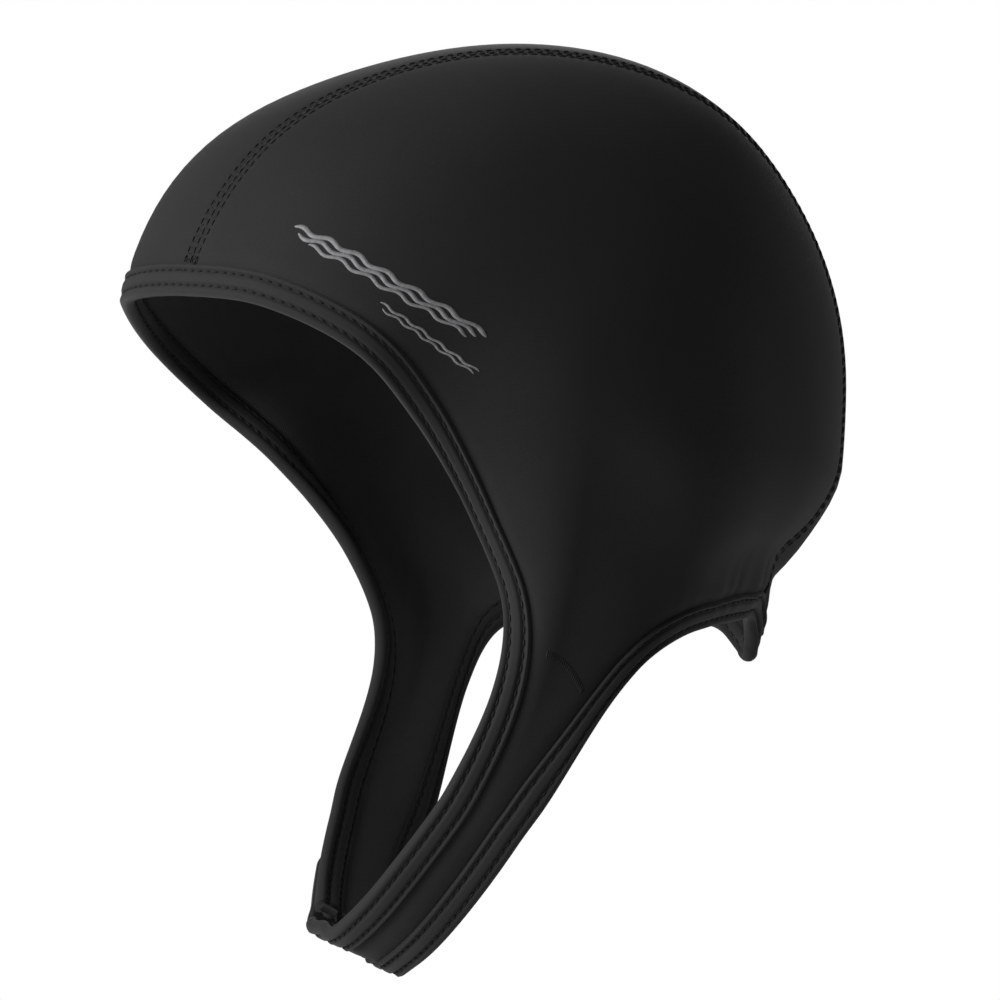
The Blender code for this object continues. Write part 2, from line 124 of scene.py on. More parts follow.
def outside(points):
    x, y, z = np.moveaxis(points, -1, 0)
    rise = np.clip(z / CROWN_RISE, 0, None)
    side = ease((z - SIDE_TAPER[0]) / (SIDE_TAPER[1] - SIDE_TAPER[0]))
    nape = ease((z - NAPE_TAPER[0]) / (NAPE_TAPER[1] - NAPE_TAPER[0]))
    half_width = NECK_HALF_WIDTH + (HALF_WIDTH - NECK_HALF_WIDTH) * side
    half_length = NECK_HALF_LENGTH + (HALF_LENGTH - NECK_HALF_LENGTH) * nape
    middle = FORM_OFFSET + CROWN_SETBACK * np.clip(rise, 0, 1.1) ** 7
    return (x / half_width) ** 2 + ((y - middle) / half_length) ** 2 + rise ** CROWN_POWER


def form_radius(directions):
    near = np.full(directions.shape[:-1], 20 * MM)
    far = np.full(directions.shape[:-1], 200 * MM)
    for _ in range(30):
        middle = (near + far) / 2
        inside = outside(directions * middle[..., None]) < 1
        near, far = np.where(inside, middle, near), np.where(inside, far, middle)
    return (near + far) / 2


def station(points, rib):
    listed = np.array(points) * MM
    listed = np.vstack([listed[1] * (-1, 1, 1), listed, 2 * listed[-1] - listed[-2]])
    place = rib * (len(points) - 1)
    first = np.clip(np.floor(place), 0, len(points) - 2).astype(int)
    t = (place - first)[..., None]
    a, b, c, d = (listed[first + k] for k in range(4))
    return (2 * b + (c - a) * t + (2 * a - 5 * b + 4 * c - d) * t ** 2 + (3 * b - a - 3 * c + d) * t ** 3) / 2


def skin(rib, along, right):
    """The outer skin at ribs 0 to 1, on +X, with the right or the left neck edge."""
    ends = (station(RIGHT_FACE_EDGE if right else FACE_EDGE, rib), station(MIDDLE, rib),
            station(RIGHT_NECK_EDGE if right else LEFT_NECK_EDGE, rib))
    start, middle, finish = (unit(end) for end in ends)
    axis = unit(np.cross(middle - start, finish - middle))
    centre = axis * (start * axis).sum(-1, keepdims=True)
    radius = np.linalg.norm(start - centre, axis=-1, keepdims=True)
    across = unit(start - centre)
    onward = np.cross(axis, across)
    turns = [np.arctan2((p * onward).sum(-1), (p * across).sum(-1)) % TAU for p in (middle, finish)]
    angle = (turns[1] * along)[..., None]
    direction = centre + radius * (np.cos(angle) * across + np.sin(angle) * onward)
    scale = [np.linalg.norm(end, axis=-1) / form_radius(unit(end)) for end in ends]
    share = turns[0] / turns[1]
    pull = [np.clip(1 - s, 0, None) for s in (along / share, (1 - along) / (1 - share))]
    pull = [p ** 2 * (2 - p) for p in pull]
    stretch = scale[1] + (scale[0] - scale[1]) * pull[0] + (scale[2] - scale[1]) * pull[1]
    return direction * (form_radius(direction) * stretch)[..., None]


# ---- The strap's U

_angle = np.linspace(0, math.pi, 1441)
_x = ROOT_X * np.sign(np.cos(_angle)) * np.abs(np.cos(_angle)) ** STRAP_TUCK
_drop = STRAP_DROP * np.sin(_angle) ** STRAP_CURL
_distance = np.concatenate([[0], np.cumsum(np.hypot(np.diff(_x), np.diff(_drop)))])
WHOLE = _distance[-1]
_slope_x, _slope_drop = np.gradient(_x, _distance), np.gradient(_drop, _distance)


def strap(distance, width, lift):
    """A point of the strap: distance from the left pivot along the U, width from front to back."""
    x, drop = np.interp(distance, _distance, _x), np.interp(distance, _distance, _drop)
    nx, nd = np.interp(distance, _distance, _slope_drop), np.interp(distance, _distance, -_slope_x)
    size = np.hypot(nx, nd)
    x = x * (1 + ROOT_TOE_IN * width / ROOT_X) + nx / size * lift
    drop = drop + nd / size * lift
    return PIVOT + x[..., None] * np.array((1, 0, 0)) + drop[..., None] * DOWN + width[..., None] * ACROSS


def strap_half(from_root):
    return STRAP_WIDTH / 2 + (ROOT_RADIUS - STRAP_WIDTH / 2) * (1 - ease(from_root / ROOT_TAPER))


# ---- The chart

def strap_rows(distances, along, right):
    """Rows of the strap, with the step that lifts the long strap's end over the short one left out."""
    d = np.repeat(np.asarray(distances)[:, None], len(along), 1)
    half = strap_half(np.minimum(d, WHOLE - d))
    if right:
        back, front = RIGHT_BACK * (1 - ease(d / BACK_FADE)), 0
    else:
        back = LEFT_BACK * ease((WHOLE - STEP_TOP - d) / SLIM_FADE)
        front = LEFT_FRONT * (1 - ease(d / FRONT_FADE))
    a = along[None, :]
    return strap(d, (2 * a - 1) * half + a * back + (1 - a) * front, 0 * d)


def leg_distances(end):
    return np.arange(FIRST_STRAP, end + 1e-6, ROW_STEP)


def root_rows(along, right):
    """Rows that run smoothly from the skin into the strap, drawn on +X."""
    step = 1e-3
    rib = np.full_like(along, LAST_RIB)
    start = skin(rib, along, right)
    leaving = unit(start - skin(rib - step, along, right))
    finish = strap_rows([FIRST_STRAP], along, right)[0]
    arriving = unit(strap_rows([FIRST_STRAP + step], along, right)[0] - finish)
    gap = np.linalg.norm(finish - start, axis=-1)
    t = np.linspace(0, 1, ROOT_ROWS + 2)[1:-1, None, None]
    pull = gap[:, None]
    h = (2 * t ** 3 - 3 * t ** 2 + 1, t ** 3 - 2 * t ** 2 + t, -2 * t ** 3 + 3 * t ** 2, t ** 3 - t ** 2)
    return h[0] * start + h[1] * leaving * pull + h[2] * finish + h[3] * arriving * pull


def half_chart(along, right, distances):
    """From rib 0 to the end of the strap on one side, drawn on +X."""
    rib_step = 1 / ROWS_PER_RIB
    ribs = np.arange(0, LAST_RIB + rib_step / 2, rib_step)
    ribs = ribs * (LAST_RIB / ribs[-1])
    rib, a = np.meshgrid(ribs, along, indexing="ij")
    return np.concatenate([skin(rib, a, right), root_rows(along, right),
                           strap_rows(distances, along, right)])


def edge_columns(count):
    """Columns that crowd towards both edges."""
    t = np.linspace(-1, 1, count)
    return (np.sign(t) * (1 - (1 - np.abs(t)) ** EDGE_CROWDING) + 1) / 2


class Chart:
    """Points and outward normals of the cloth's outer face, by row and column."""

    def __init__(self):
        along = edge_columns(COLUMNS)
        left = half_chart(along, False, leg_distances(WHOLE - STEP_TOP))
        right = half_chart(along, True, leg_distances(SHORT_STRAP))
        right = right * (-1, 1, 1)
        self.points = np.concatenate([right[:0:-1], left])
        self.middle = len(right) - 1
        self.along = along
        self.rib_rows = round(LAST_RIB * ROWS_PER_RIB)
        self.settle()

    def settle(self):
        """Works out the normals, the rows' course in metres, and how far columns lie from both edges."""
        p = self.points
        across = np.gradient(p, axis=0)
        onward = np.gradient(p, self.along, axis=1)
        self.normals = unit(np.cross(across, onward))
        steps = np.linalg.norm(np.diff(p, axis=1), axis=2)
        from_face = np.concatenate([np.zeros((len(p), 1)), np.cumsum(steps, axis=1)], axis=1)
        self.from_face = from_face
        self.from_neck = from_face[:, -1:] - from_face
        ends = [np.concatenate([[0], np.cumsum(np.linalg.norm(np.diff(p[:, c], axis=0), axis=1))])
                for c in (0, len(self.along) // 2, -1)]
        self.course = [e - e[self.middle] for e in ends]

    def row_of_rib(self, rib):
        return self.middle + rib * ROWS_PER_RIB

    def at(self, row, column):
        """Points and normals at any place, rows and columns being numbers with fractions."""
        row = np.clip(row, 0, len(self.points) - 1.001)
        column = np.clip(column, 0, self.points.shape[1] - 1.001)
        r, c = row.astype(int), column.astype(int)
        u, v = (row - r)[..., None], (column - c)[..., None]
        out = []
        for g in (self.points, self.normals):
            out.append(g[r, c] * (1 - u) * (1 - v) + g[r + 1, c] * u * (1 - v)
                       + g[r, c + 1] * (1 - u) * v + g[r + 1, c + 1] * u * v)
        return out[0], unit(out[1])

    def column_at(self, row, distance, from_neck=False):
        """The column that lies a distance in from the face edge, or from the neck edge, on each row."""
        row = np.clip(np.asarray(row, float), 0, len(self.points) - 1.001)
        table = self.from_neck if from_neck else self.from_face
        r = row.astype(int)
        u = (row - r)[:, None]
        line = table[r] * (1 - u) + table[r + 1] * u
        found = np.empty((len(row),) + np.shape(distance)[-1:])
        wanted = np.broadcast_to(distance, found.shape)
        number = np.arange(line.shape[1])
        for k, values in enumerate(line):
            if from_neck:
                found[k] = np.interp(wanted[k], values[::-1], number[::-1])
            else:
                found[k] = np.interp(wanted[k], values, number)
        return found


chart = Chart()


# ---- Shape of the worn cloth: pucker at the nape, pillowed seams, and small unevenness

def waves(seed, points, length, count=7):
    """Slow unevenness between about -1 and 1, the same at every run."""
    rng = random.Random(seed)
    total = 0
    for _ in range(count):
        way = np.array([rng.gauss(0, 1) for _ in range(3)])
        way = way / np.linalg.norm(way) * (TAU / length) * rng.uniform(0.6, 1.5)
        total = total + np.sin(points @ way + rng.uniform(0, TAU))
    return total / math.sqrt(count)


def rib_grid():
    """The rib number of every chart point, 1 and more on the straps."""
    row = np.arange(len(chart.points)) - chart.middle
    return np.repeat((row / ROWS_PER_RIB)[:, None], chart.points.shape[1], 1)


def shape_cloth():
    rib = rib_grid()
    p, face, neck = chart.points, chart.from_face, chart.from_neck
    on_head = 1 - ease((np.abs(rib) - 0.74) / 0.1)
    height = 0.28 * MM * waves(3, p, 70 * MM) * on_head
    nape = np.exp(-(np.abs(rib) / 0.52) ** 4)
    ridge = bell(neck, 8.5 * MM, 4.5 * MM) * (0.75 + 0.25 * np.cos(np.abs(rib) * 26))
    hollow = bell(neck, 19 * MM, 6.5 * MM)
    gathers = np.sin(rib * 95 + 1.4 * np.sin(rib * 31)) * bell(neck, 9 * MM, 7 * MM)
    height += nape * (1.3 * ridge - 1.9 * hollow + 0.22 * gathers) * MM
    _, y, z = np.moveaxis(p / MM, -1, 0)
    fuller = 1.2 * ease((y - 55) / 30) * bell(z, 4, 30) + 0.8 * bell(y, 45, 30) * ease((z - 50) / 20)
    slighter = 0.8 * ease((-y - 55) / 25) * bell(z, 40, 22) + 1.7 * ease((y - 40) / 30) * bell(z, -40, 18)
    height += MM * (fuller - slighter)
    tail = ease((np.arange(len(p)) - chart.middle - ROWS_PER_RIB * LAST_RIB) / 30)[:, None]
    height += 0.12 * MM * waves(9, p, 24 * MM) * tail
    chart.points = p + chart.normals * height[..., None]
    chart.settle()


def lift_strap_end():
    """Steps the long strap's end up over the short one, as the joined cloth does."""
    course = np.linspace(FIRST_STRAP, WHOLE - STEP_TOP, len(leg_distances(WHOLE - STEP_TOP)))
    first = len(chart.points) - len(course)
    rise = TAB_RISE * ease((STEP_BOTTOM - (WHOLE - course)) / (STEP_BOTTOM - STEP_TOP))
    chart.points[first:] += chart.normals[first:] * rise[:, None, None]
    chart.settle()


shape_cloth()
lift_strap_end()
LAST_ROW = len(chart.points) - 1


# ---- Meshes

CORD_END = 0.55

def mesh(name, points, faces, materials, uv=None, finish=None, smooth=True, values=None):
    """An object from points and faces. finish is each face's material number, values are point attributes."""
    data = bpy.data.meshes.new(name)
    data.from_pydata(np.asarray(points).reshape(-1, 3).tolist(), [], [list(map(int, f)) for f in faces])
    for material in materials:
        data.materials.append(material)
    if finish is not None:
        data.polygons.foreach_set("material_index", np.asarray(finish, np.int32))
    if uv is not None:
        layer = data.uv_layers.new(name="Cloth")
        corner = np.empty(len(data.loops), np.int32)
        data.loops.foreach_get("vertex_index", corner)
        layer.data.foreach_set("uv", np.asarray(uv, np.float32).reshape(-1, 2)[corner].ravel())
    for key, value in (values or {}).items():
        layer = data.attributes.new(key, "FLOAT", "POINT")
        layer.data.foreach_set("value", np.asarray(value, np.float32).ravel())
    data.polygons.foreach_set("use_smooth", np.full(len(data.polygons), smooth))
    data.update()
    obj = bpy.data.objects.new(name, data)
    bpy.context.scene.collection.objects.link(obj)
    turn_outward(obj)
    return obj


def turn_outward(obj):
    data = obj.data
    data.calc_loop_triangles()
    index = np.empty(len(data.loop_triangles) * 3, np.int32)
    data.loop_triangles.foreach_get("vertices", index)
    co = np.empty(len(data.vertices) * 3)
    data.vertices.foreach_get("co", co)
    a, b, c = np.moveaxis(co.reshape(-1, 3)[index.reshape(-1, 3)], 1, 0)
    if np.einsum("ij,ij->", a, np.cross(b, c)) < 0:
        data.flip_normals()


def grid_faces(rows, columns, start=0, flip=False):
    r, c = np.meshgrid(np.arange(rows - 1), np.arange(columns - 1), indexing="ij")
    a = start + r * columns + c
    quads = np.stack([a, a + columns, a + columns + 1, a + 1], -1).reshape(-1, 4)
    return quads[:, ::-1] if flip else quads


def slab(name, top, bottom, materials, uv=None):
    """A closed sheet between two grids: the outside has the first material, the rest the second."""
    rows, columns = top.shape[:2]
    count = rows * columns
    index = np.arange(count).reshape(rows, columns)
    rim = np.concatenate([index[0], index[1:, -1], index[-1, -2::-1], index[-2:0:-1, 0]])
    after = np.roll(rim, -1)
    walls = np.stack([rim, after, after + count, rim + count], -1)
    outer, inner = grid_faces(rows, columns), grid_faces(rows, columns, count, True)
    faces = np.concatenate([outer, inner, walls[:, ::-1]])
    finish = np.concatenate([np.zeros(len(outer)), np.full(len(inner) + len(walls), len(materials) > 1)])
    if uv is not None:
        uv = np.concatenate([uv.reshape(-1, 2)] * 2)
    points = np.concatenate([top.reshape(-1, 3), bottom.reshape(-1, 3)])
    return mesh(name, points, faces, materials, uv, finish)


def hose(name, rings, materials, uv=None, values=None):
    """A closed body through a row of closed rings of points."""
    rows, sides = rings.shape[:2]
    a = np.arange(rows * sides).reshape(rows, sides)
    b = np.roll(a, -1, axis=1)
    faces = np.stack([a[:-1], a[1:], b[1:], b[:-1]], -1).reshape(-1, 4).tolist()
    faces += [a[0].tolist(), a[-1, ::-1].tolist()]
    return mesh(name, rings.reshape(-1, 3), faces, materials, uv, values=values)


def joined(name, parts, materials):
    """One object from several lists of points and faces, each its own closed body."""
    points, faces, start = [], [], 0
    for p, f in parts:
        points.append(p)
        faces.extend([[i + start for i in face] for face in f])
        start += len(p)
    return mesh(name, np.concatenate(points), faces, materials, finish=np.zeros(len(faces)))


def tube(path, normal, radius, sides):
    """A cord with slimmer ends along a path, as points and faces."""
    path, normal = np.asarray(path), np.asarray(normal)
    along = unit(np.gradient(path, axis=0))
    side = unit(np.cross(along, normal))
    up = np.cross(side, along)
    turn = np.arange(sides) / sides * TAU
    size = np.full(len(path), radius)
    size[0] = size[-1] = radius * CORD_END
    rings = (path[:, None] + size[:, None, None] * (np.cos(turn)[None, :, None] * side[:, None]
             + np.sin(turn)[None, :, None] * up[:, None]))
    a = np.arange(len(path) * sides).reshape(-1, sides)
    b = np.roll(a, -1, axis=1)
    faces = np.stack([a[:-1], b[:-1], b[1:], a[1:]], -1).reshape(-1, 4).tolist()
    faces += [a[0, ::-1].tolist(), a[-1].tolist()]
    return rings.reshape(-1, 3), faces


# ---- Laying things on the chart

CLOTH_ROW, SEAM_ROW_SPREAD = 2 * MM, 1.9
EDGE_STRIP, FINE_STEP, NEAR_COLUMNS, MIDDLE_COLUMNS = 1.5 * MM, 1 * MM, 13, 76
TUCK = 1.2 * MM
DIP_DEPTH, DIP_WIDTH = 0.32 * MM, 2.6 * MM


def row_numbers():
    return np.arange(LAST_ROW + 1)


def width_at(row):
    """How wide the cloth is from edge to edge at a row."""
    return np.interp(row, row_numbers(), chart.from_face[:, -1])


def rows_per_metre(row, column):
    here, _ = chart.at(row, column)
    there, _ = chart.at(row + 1, column)
    return 1 / np.linalg.norm(there - here, axis=-1)


def rows_by_course(edge, spacing, first=0, last=LAST_ROW):
    """Row numbers an even distance apart, at the face edge (0), the middle (1) or the neck edge (2)."""
    course = chart.course[edge]
    a, b = np.interp([first, last], row_numbers(), course)
    count = max(2, round((b - a) / spacing) + 1)
    return np.interp(np.linspace(a, b, count), course, row_numbers())


def on_edge(row, distance, lift, neck):
    """Points over the cloth near one edge: distance is in from the edge, and less than 0 beyond it."""
    row = np.asarray(row, float)
    distance, lift = np.broadcast_arrays(np.asarray(distance, float), np.asarray(lift, float))
    distance = np.broadcast_to(distance, (len(row), distance.shape[-1]))
    lift = np.broadcast_to(lift, distance.shape)
    column = chart.column_at(row, np.maximum(distance, EDGE_STRIP), neck)
    rows = np.repeat(row[:, None], distance.shape[1], 1)
    p, n = chart.at(rows, column)
    edge_column = 0 if not neck else chart.points.shape[1] - 1
    edge, _ = chart.at(row, np.full(len(row), float(edge_column)))
    first, facing = chart.at(row, chart.column_at(row, np.array([EDGE_STRIP]), neck)[:, 0])
    outward = unit(edge - first)
    beyond, raised = (EDGE_STRIP - distance)[..., None], lift[..., None]
    straight = first[:, None] + outward[:, None] * beyond + facing[:, None] * raised
    return np.where(distance[..., None] < EDGE_STRIP, straight, p + n * raised)


def cloth_columns(row, margin):
    """Columns across the cloth between its bindings: close together beside them, wider in the middle."""
    room = width_at(row) - 2 * margin
    fine = np.minimum(FINE_STEP, room / (2 * NEAR_COLUMNS + MIDDLE_COLUMNS))
    wide = (room - 2 * NEAR_COLUMNS * fine) / MIDDLE_COLUMNS
    close = np.repeat(fine[:, None], NEAR_COLUMNS, 1)
    steps = np.concatenate([close, np.repeat(wide[:, None], MIDDLE_COLUMNS, 1), close], axis=1)
    return margin + np.concatenate([np.zeros((len(row), 1)), np.cumsum(steps, axis=1)], axis=1)


GROOVES = (2.3 * MM, 6.1 * MM)
SEAM_ROWS = (chart.row_of_rib(-SEAM_RIB), chart.row_of_rib(SEAM_RIB))


def seam_dip(row, column):
    """How far the cloth sinks beside a crown seam."""
    here, _ = chart.at(row, column)
    dip = 0
    for seam in SEAM_ROWS:
        there, _ = chart.at(np.full_like(row, seam), column)
        dip = dip + DIP_DEPTH * bell(np.linalg.norm(here - there, axis=-1), 0, DIP_WIDTH)
    return dip


def cloth(name, first, last, materials):
    """A main piece of cloth between two rows, its edges tucked into the bindings."""
    rows = rows_by_course(1, CLOTH_ROW, first, last)
    for seam in SEAM_ROWS:
        if abs(first - seam) < 1e-6 or abs(last - seam) < 1e-6:
            extra = seam + np.array([-1.6, -1.1, -0.7, -0.35, 0.35, 0.7, 1.1, 1.6]) * SEAM_ROW_SPREAD
            rows = np.sort(np.concatenate([rows, extra[(extra > first) & (extra < last)]]))
    distance = cloth_columns(rows, TUCK)
    column = chart.column_at(rows, distance)
    row = np.repeat(rows[:, None], distance.shape[1], 1)
    p, n = chart.at(row, column)
    inside = np.minimum(distance, width_at(row) - distance)
    sink = (0.5 * bell(inside, HEM, 2.2 * MM) + 0.45 * (1 - ease((inside - HEM + 1 * MM) / (2 * MM)))) * MM
    sink = sink + seam_dip(row, column)
    top = p - n * sink[..., None]
    bottom = p - n * (SKIN - 0.55 * sink)[..., None]
    steps = np.linalg.norm(np.diff(p, axis=0), axis=2)
    run = np.concatenate([np.zeros((1, row.shape[1])), np.cumsum(steps, axis=0)])
    middle = row.shape[1] // 2
    uv = np.stack([run - run[:, middle:middle + 1].mean(), distance], -1)
    return slab(name, top, bottom, materials, uv)


# The band's profile: how far it stands over the skin, its fold, and how deep the stitches draw it in
BAND_STEP, BAND_RISE, BAND_INNER, FOLD_START, FOLD_REACH = 1.25 * MM, 0.62 * MM, 0.55 * MM, 1.7 * MM, 2 * MM
GROOVE_DEPTH, GROOVE_WIDTH, SWELLING = 0.78 * MM, 0.62 * MM, 0.1


def binding(name, neck, material):
    """The band that wraps round one edge of the cap and the strap, drawn in by two rows of stitches."""
    rows = rows_by_course(2 if neck else 0, BAND_STEP)
    outer = np.concatenate([[HEM + 0.25 * MM, HEM + 0.1 * MM], np.linspace(HEM, FOLD_START, 22)])
    turn = np.linspace(0, math.pi, 9)[1:-1]
    inner = np.linspace(FOLD_START, HEM - 0.6 * MM, 14)
    swell = 1 + SWELLING * waves(21 + neck, chart.at(rows, np.zeros(len(rows)))[0], 26 * MM)[:, None]
    lift_outer = np.full(len(outer), BAND_RISE)
    lift_inner = np.full(len(inner), -SKIN - BAND_INNER)
    for groove in GROOVES:
        lift_outer = lift_outer - GROOVE_DEPTH * bell(outer, groove, GROOVE_WIDTH)
        lift_inner = lift_inner + 0.6 * MM * bell(inner, groove, 0.7 * MM)
    lift_outer[:3] = np.array([-0.75, -0.25, 0.18]) * MM
    lift_inner[-1] = -SKIN + 0.25 * MM
    nose = FOLD_START - FOLD_REACH * np.sin(turn)
    middle, half = (BAND_RISE - SKIN - BAND_INNER) / 2, (BAND_RISE + SKIN + BAND_INNER) / 2
    distance = np.concatenate([outer, nose, inner])
    lift = np.concatenate([lift_outer, middle + half * np.cos(turn), lift_inner])
    lift = np.where(lift > 0, lift * swell, lift * np.ones_like(swell))
    rings = on_edge(rows, distance, lift, neck)
    across = np.concatenate([[0], np.cumsum(np.hypot(np.diff(distance), np.diff(lift.mean(0))))])
    run = np.interp(rows, row_numbers(), chart.course[2 if neck else 0])
    uv = np.stack(np.meshgrid(run, across, indexing="ij"), -1)
    # Painted highlight: the band's raised ridges and the outer half of its fold get a lighter colour through
    # this attribute.
    ridge = np.clip((lift_outer - 0.2 * MM) / (0.4 * MM), 0, 1)
    ridge_highlight = np.broadcast_to(np.concatenate([ridge, np.clip(np.cos(turn), 0, 1), 0 * inner]), lift.shape)
    return hose(name, rings, [material], uv, {"ridge_highlight": ridge_highlight})


def stitch(middle, along, up, length, radius, sag):
    """One stitch: a short arched thread whose ends sink into the cloth."""
    t = np.linspace(-1, 1, 5)
    path = middle + along * (t * length / 2)[:, None] + up * (-sag * t ** 4)[:, None]
    return tube(path, np.repeat(up[None], 5, 0), radius, 5)


EDGE_STITCH_PITCH, EDGE_STITCH_LENGTH, EDGE_THREAD, EDGE_STITCH_SAG = 3 * MM, 2.1 * MM, 0.27 * MM, 0.45 * MM


def stitch_row(edge, distance, lift, neck, inside):
    """Stitches along one line a set distance in from an edge."""
    course = chart.course[edge]
    places = np.arange(course[0] + EDGE_STITCH_PITCH, course[LAST_ROW] - EDGE_STITCH_PITCH, EDGE_STITCH_PITCH)
    rows, ahead = (np.interp(places + step, course, row_numbers()) for step in (0, 0.4 * MM))
    p, q = (on_edge(r, np.array([distance]), np.array([lift]), neck)[:, 0] for r in (rows, ahead))
    _, n = chart.at(rows, chart.column_at(rows, np.array([distance]), neck)[:, 0])
    n = -n if inside else n
    size = (EDGE_STITCH_LENGTH, EDGE_THREAD, EDGE_STITCH_SAG)
    return [stitch(a, d, u, *size) for a, d, u in zip(p, unit(q - p), n)]


def edge_stitching(name, neck, material):
    parts = []
    for groove in GROOVES:
        for lift, inside in ((0.1 * MM, False), (-SKIN - 0.12 * MM, True)):
            parts += stitch_row(2 if neck else 0, groove, lift, neck, inside)
    return joined(name, parts, [material])


SEAM_HALF, SEAM_PITCH, SEAM_NEEDLES = 2.2 * MM, 0.8 * MM, (-2.25, 0.0, 2.25)
SMALL_STITCH, SEAM_THREAD, SMALL_SAG = 1.9 * MM, 0.2 * MM, 0.3 * MM


def crown_stitching(name, side, material):
    """Flat seam over a crown seam: three needle rows and a thread that zigzags between them."""
    seam = chart.middle + side * SEAM_RIB * ROWS_PER_RIB
    place = np.arange(HEM - 1 * MM, width_at(seam) - HEM + 1 * MM, SEAM_PITCH)
    column = chart.column_at(np.array([seam]), place)[0]
    rate = rows_per_metre(np.full_like(column, seam), column)
    swing = np.where(np.arange(len(place)) % 2 == 0, 1.0, -1.0) * SEAM_HALF * rate
    p, n = chart.at(seam + swing, column)
    between = n[:-1] + n[1:]
    middle = (p[:-1] + p[1:]) / 2 - between / 2 * 0.5 * MM
    p = p - n * (seam_dip(seam + swing, column) - 0.04 * MM)[:, None]
    path = np.empty((2 * len(p) - 1, 3))
    facing = np.empty_like(path)
    path[0::2], path[1::2] = p, middle
    facing[0::2], facing[1::2] = n, unit(between)
    parts = [tube(path, facing, SEAM_THREAD, 5)]
    for offset in SEAM_NEEDLES:
        col = chart.column_at(np.array([seam]), np.arange(place[0], place[-1], 2.6 * MM))[0]
        r = seam + np.interp(col, column, rate) * offset * MM
        a, up = chart.at(r, col)
        along = unit(chart.at(r, col + 0.2)[0] - a)
        a = a - up * (seam_dip(r, col) - 0.15 * MM)[:, None]
        parts += [stitch(x, d, u, SMALL_STITCH, SEAM_THREAD, SMALL_SAG) for x, d, u in zip(a, along, up)]
    return joined(name, parts, [material])


TAPE_HALF, TAPE_STEP = 5 * MM, 2 * MM


def seam_tape(name, side, material):
    """Tape glued over the crown seam on the inside."""
    seam = chart.middle + side * SEAM_RIB * ROWS_PER_RIB
    place = np.arange(HEM + 1 * MM, width_at(seam) - HEM - 1 * MM, TAPE_STEP)
    column = chart.column_at(np.array([seam]), place)[0]
    rate = rows_per_metre(np.full_like(column, seam), column)
    share = np.linspace(-1, 1, 9)
    rows = seam + share[:, None] * TAPE_HALF * rate[None, :]
    columns = np.repeat(column[None, :], 9, 0)
    edge = (1 - np.abs(share) ** 6)[:, None]
    p, n = chart.at(rows, columns)
    top = p - n * (SKIN - 0.15 * MM)
    bottom = p - n * (SKIN + 0.1 * MM + 0.5 * MM * edge)[..., None]
    uv = np.stack(np.meshgrid(share * TAPE_HALF, np.arange(len(column)) * TAPE_STEP, indexing="ij"), -1)
    return slab(name, bottom, top, [material], uv)


# ---- Small pieces

def on_strap(distance, width, lift):
    """A point over the right leg, distance being measured from the right root."""
    return strap(WHOLE - np.asarray(distance, float), np.asarray(width, float), np.asarray(lift, float))


def up_from_strap(distance, width, lift, p):
    return unit(on_strap(distance, width, lift + MM) - p)


def pad_grid(reach, width, corner, steps=(29, 21)):
    """Distances and widths of a pad on the right leg, its corners rounded."""
    d = np.linspace(reach[0], reach[1], steps[0])
    from_end = np.minimum(d - reach[0], reach[1] - d)
    into = np.clip(corner - from_end, 0, None)
    half = width / 2 - (corner - np.sqrt(np.maximum(corner ** 2 - into ** 2, 0)))
    w = np.linspace(-1, 1, steps[1])
    w = np.sign(w) * (1 - (1 - np.abs(w)) ** 1.4)
    return np.repeat(d[:, None], steps[1], 1), half[:, None] * w[None, :]


def crowned_pad(name, reach, width, corner, low, high, material, edge=0.35 * MM):
    d, w = pad_grid(reach, width, corner)
    middle, half = (reach[0] + reach[1]) / 2, (reach[1] - reach[0]) / 2
    rim = np.maximum(np.abs(w) / (width / 2), np.abs(d - middle) / half) ** 8
    uv = np.stack([w, d], -1)
    top, bottom = on_strap(d, w, high - edge * rim), on_strap(d, w, low + edge * 0.3 * rim)
    return slab(name, top, bottom, [material], uv)


def pad_outline(reach, width, inset, corner, spacing):
    """Points round a rounded rectangle on the right leg."""
    a, b = reach[0] + inset, reach[1] - inset
    half, r = width / 2 - inset, max(corner - inset, 0.5 * MM)
    corners = ((b - r, half - r), (a + r, half - r), (a + r, -half + r), (b - r, -half + r))
    line = []
    for k, (d, w) in enumerate(corners):
        turn = np.radians(np.linspace(90 * k, 90 * k + 90, 8))
        line += [(d + r * math.cos(t), w + r * math.sin(t)) for t in turn]
    line = np.array(line + line[:1])
    run = np.concatenate([[0], np.cumsum(np.hypot(*np.diff(line, axis=0).T))])
    at = np.linspace(0, run[-1], max(8, round(run[-1] / spacing)) + 1)[:-1]
    return np.stack([np.interp(at, run, line[:, k]) for k in (0, 1)], -1)


def pad_stitching(reach, width, inset, corner, lift, pitch, length):
    d, w = pad_outline(reach, width, inset, corner, pitch).T
    p = on_strap(d, w, lift)
    along = unit(np.roll(p, -1, axis=0) - np.roll(p, 1, axis=0))
    up = up_from_strap(d, w, lift, p)
    return [stitch(a, s, u, length, 0.24 * MM, 0.35 * MM) for a, s, u in zip(p, along, up)]


